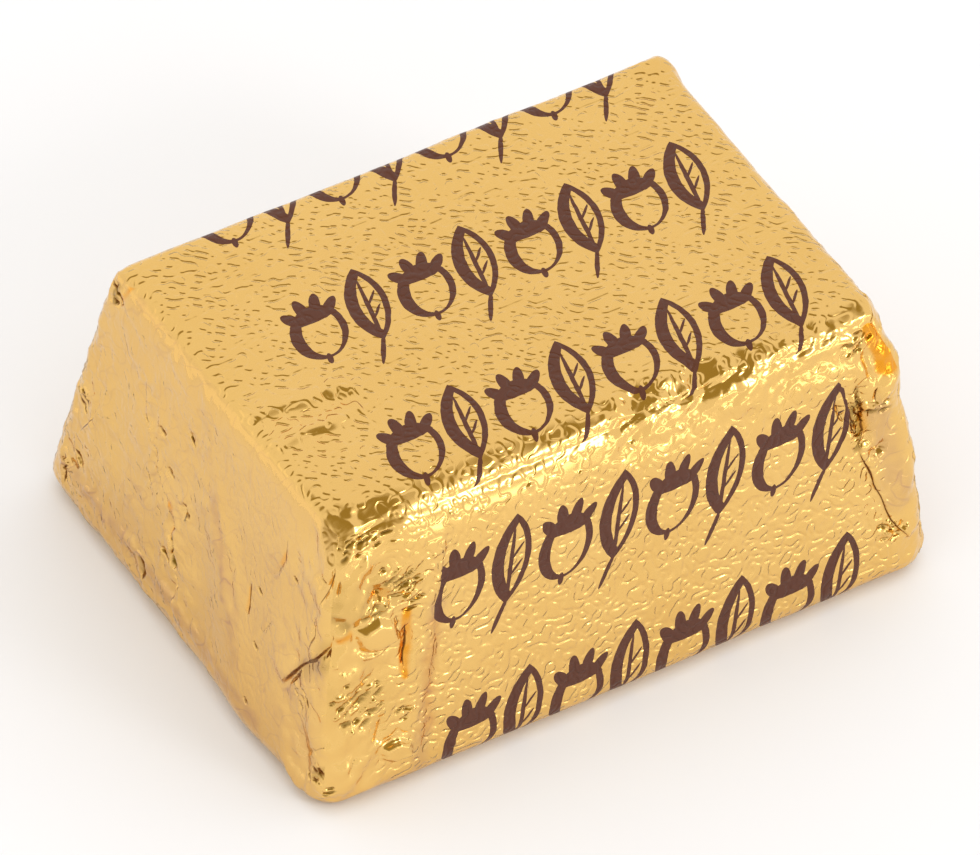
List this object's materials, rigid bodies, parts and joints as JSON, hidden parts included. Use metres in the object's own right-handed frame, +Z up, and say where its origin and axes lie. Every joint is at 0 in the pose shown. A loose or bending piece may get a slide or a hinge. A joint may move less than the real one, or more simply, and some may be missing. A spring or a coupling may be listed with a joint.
{
  "type": "foil-wrapped hazelnut praline",
  "caption": "Tapered block of hazelnut praline shut in gold foil, with folded ends, pleated corners and a flat base to rest on.",
  "frame": {"origin": "middle of the base, on the plane that the praline stands on", "axes": "+X along the long side, to the right in the picture; +Y towards the back; +Z up, towards the smaller top face"},
  "size_m": [0.0312, 0.0234, 0.014],
  "materials": {
    "gold_foil": "gold-lacquered, pebble-embossed aluminium foil with a dark brown printed pattern, crumpled at corners and edges"
  },
  "bodies": {
    "root": {"wrapped_praline": "gold_foil"}
  },
  "joints": []
}
